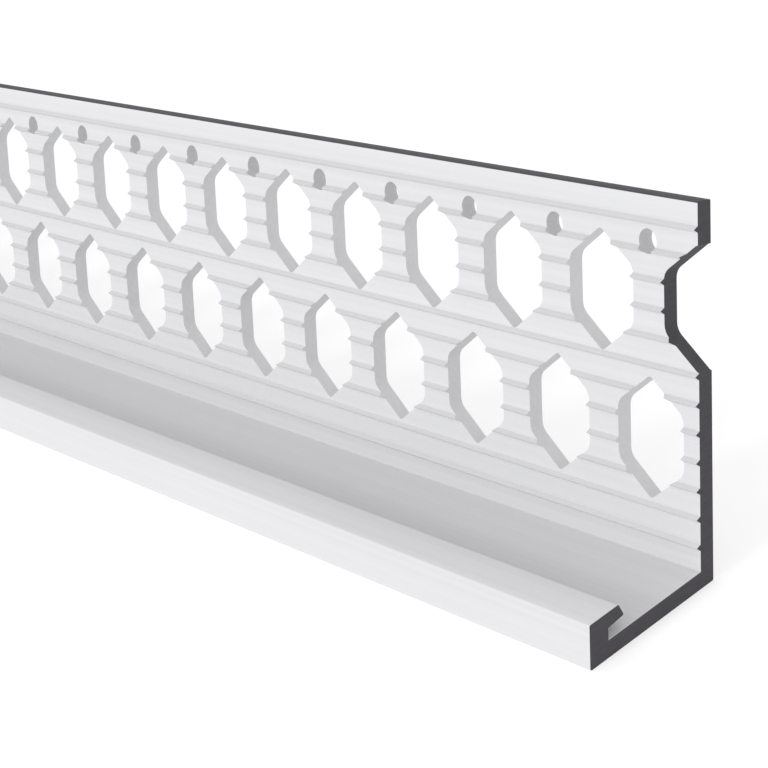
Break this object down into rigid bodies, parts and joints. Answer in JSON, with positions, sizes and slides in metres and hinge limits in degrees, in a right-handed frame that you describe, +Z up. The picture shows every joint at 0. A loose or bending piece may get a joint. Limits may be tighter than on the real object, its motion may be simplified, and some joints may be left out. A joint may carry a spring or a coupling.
{
  "type": "bellcast bead",
  "caption": "Straight extruded render bead: a ribbed wing with two rows of six-sided key holes and a row of nail holes, over a sloping drip shelf with a hooked nose.",
  "frame": {"origin": "on the level surface that the bead stands on, in the middle of the space that it takes there", "axes": "+X along the bead, +Y from the nose to the back of the wing, +Z up from the flat underside"},
  "size_m": [2.5, 0.034, 0.0434],
  "materials": {
    "upvc": "satin"
  },
  "bodies": {
    "root": {"bellcast_bead": "upvc"}
  },
  "joints": []
}
